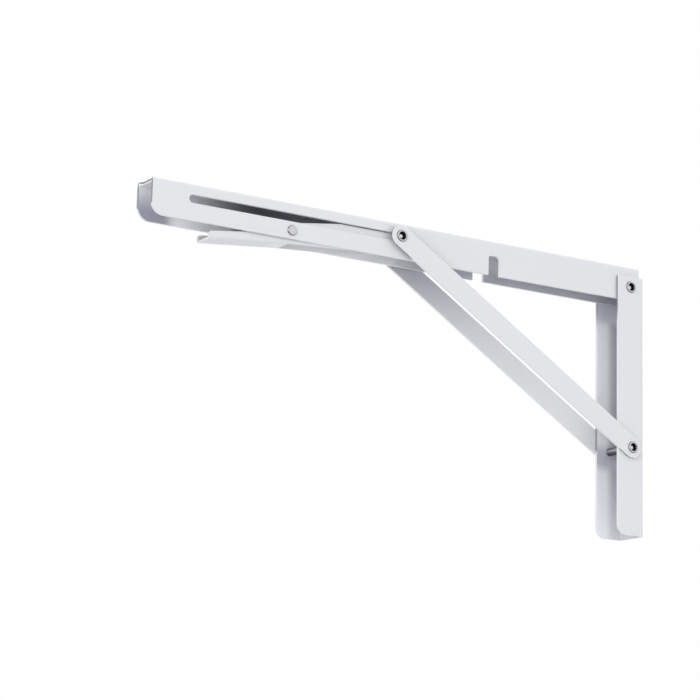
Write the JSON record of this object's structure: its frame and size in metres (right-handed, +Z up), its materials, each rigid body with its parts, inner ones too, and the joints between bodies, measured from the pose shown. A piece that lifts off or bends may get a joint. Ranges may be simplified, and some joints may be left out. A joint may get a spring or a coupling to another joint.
{
  "type": "folding shelf bracket",
  "caption": "White steel folding shelf bracket: wall leg, hinged shelf arm, strut bars that slide in the arm, and a sprung lever that locks it level or lets it fold down.",
  "frame": {"origin": "centre of the wall leg's middle screw hole, on the wall plane", "axes": "+Y points into the wall, the arm reaches towards -Y, +Z is up, X runs across the bracket"},
  "size_m": [0.0334, 0.4, 0.1967],
  "materials": {
    "powder_coat": "satin",
    "plated_steel": "bright",
    "spring_steel": "satin"
  },
  "bodies": {
    "leg_group": {"wall_leg": "powder_coat", "hinge_rivet": "plated_steel"},
    "arm_group": {"shelf_arm": "powder_coat", "lever_pin": "plated_steel", "lever_spring": "spring_steel"},
    "lever_group": {"release_lever": "powder_coat"},
    "strut_group": {"strut_bar_left": "powder_coat", "strut_bar_right": "powder_coat", "lower_rivet": "plated_steel", "upper_rivet_left": "plated_steel", "upper_rivet_right": "plated_steel"},
    "slide_group": {"slide_bush_left": "plated_steel", "slide_bush_right": "plated_steel"}
  },
  "joints": [
    {"name": "arm_fold", "type": "hinge", "parent": "leg_group", "child": "arm_group", "pos_m": [0, -0.0121, 0.08675], "axis": [1, 0, 0], "range_deg": [0, 90]},
    {"name": "strut_swing", "type": "hinge", "parent": "leg_group", "child": "strut_group", "pos_m": [0, -0.0121, -0.03125], "axis": [1, 0, 0], "range_deg": [0, 120.43]},
    {"name": "pin_slide", "type": "slide", "parent": "arm_group", "child": "slide_group", "axis": [0, -1, 0], "range_m": [0, 0.15304]},
    {"name": "lever_press", "type": "hinge", "parent": "arm_group", "child": "lever_group", "pos_m": [0, -0.2954, 0.08305], "axis": [-1, 0, 0], "range_deg": [0, 8.5], "stiffness_Nm_per_rad": 0.25, "springref_deg": -17.19, "deforming": ["lever_spring"]}
  ],
  "couplings": [
    {"joint": "strut_swing", "follows": "arm_fold", "ratio": 1.338},
    {"joint": "pin_slide", "follows": "arm_fold", "m_per_rad": 0.097414}
  ]
}
